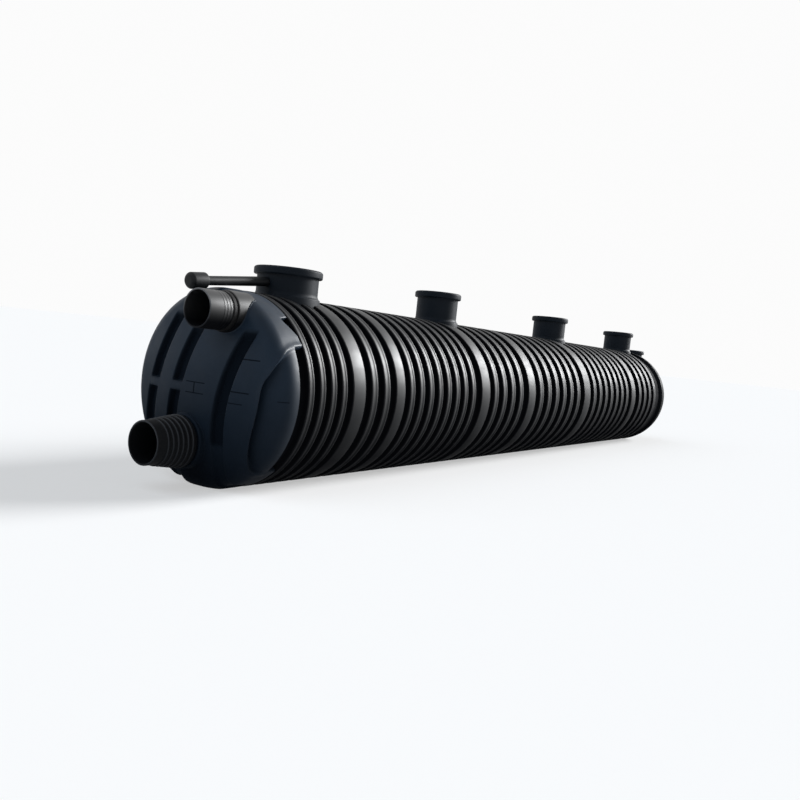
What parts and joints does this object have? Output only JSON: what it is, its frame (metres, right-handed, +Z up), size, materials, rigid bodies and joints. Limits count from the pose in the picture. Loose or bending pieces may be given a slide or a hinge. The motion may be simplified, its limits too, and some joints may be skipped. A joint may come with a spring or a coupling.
{
  "type": "oil separator tank",
  "caption": "Long horizontal black ribbed plastic tank that separates oil from drain water, with domed ends, access necks, pipe stubs at one end and a capped vent.",
  "frame": {"origin": "on the floor under the middle of the overall length", "axes": "+X along the tank from the end with the pipes to the plain end, +Z up"},
  "size_m": [15.4812, 2.1999, 2.61],
  "materials": {
    "shell_pe": "satin black polyethylene",
    "neck_pe": "satin black polyethylene",
    "pipe_pe": "smooth black polyethylene",
    "seal_rubber": "black rubber"
  },
  "bodies": {
    "root": {"inlet_dome_crown": "shell_pe", "inlet_dome_flanks": "shell_pe", "inlet_dome_invert": "shell_pe", "lower_base": "pipe_pe", "lower_pipe": "pipe_pe", "neck_1_collar": "neck_pe", "neck_1_tube": "neck_pe", "neck_2_collar": "neck_pe", "neck_2_tube": "neck_pe", "neck_3_collar": "neck_pe", "neck_3_tube": "neck_pe", "neck_4_collar": "neck_pe", "neck_4_tube": "neck_pe", "neck_5_collar": "neck_pe", "neck_5_tube": "neck_pe", "outlet_dome_crown": "shell_pe", "outlet_dome_flanks": "shell_pe", "outlet_dome_invert": "shell_pe", "section_1_crown": "shell_pe", "section_1_flanks": "shell_pe", "section_1_invert": "shell_pe", "section_2_crown": "shell_pe", "section_2_flanks": "shell_pe", "section_2_invert": "shell_pe", "section_3_crown": "shell_pe", "section_3_flanks": "shell_pe", "section_3_invert": "shell_pe", "section_4_crown": "shell_pe", "section_4_flanks": "shell_pe", "section_4_invert": "shell_pe", "section_5_crown": "shell_pe", "section_5_flanks": "shell_pe", "section_5_invert": "shell_pe", "section_6_crown": "shell_pe", "section_6_flanks": "shell_pe", "section_6_invert": "shell_pe", "upper_pipe": "pipe_pe", "upper_seal": "seal_rubber", "upper_socket": "pipe_pe", "vent_cap": "pipe_pe", "vent_pipe": "pipe_pe"}
  },
  "joints": []
}
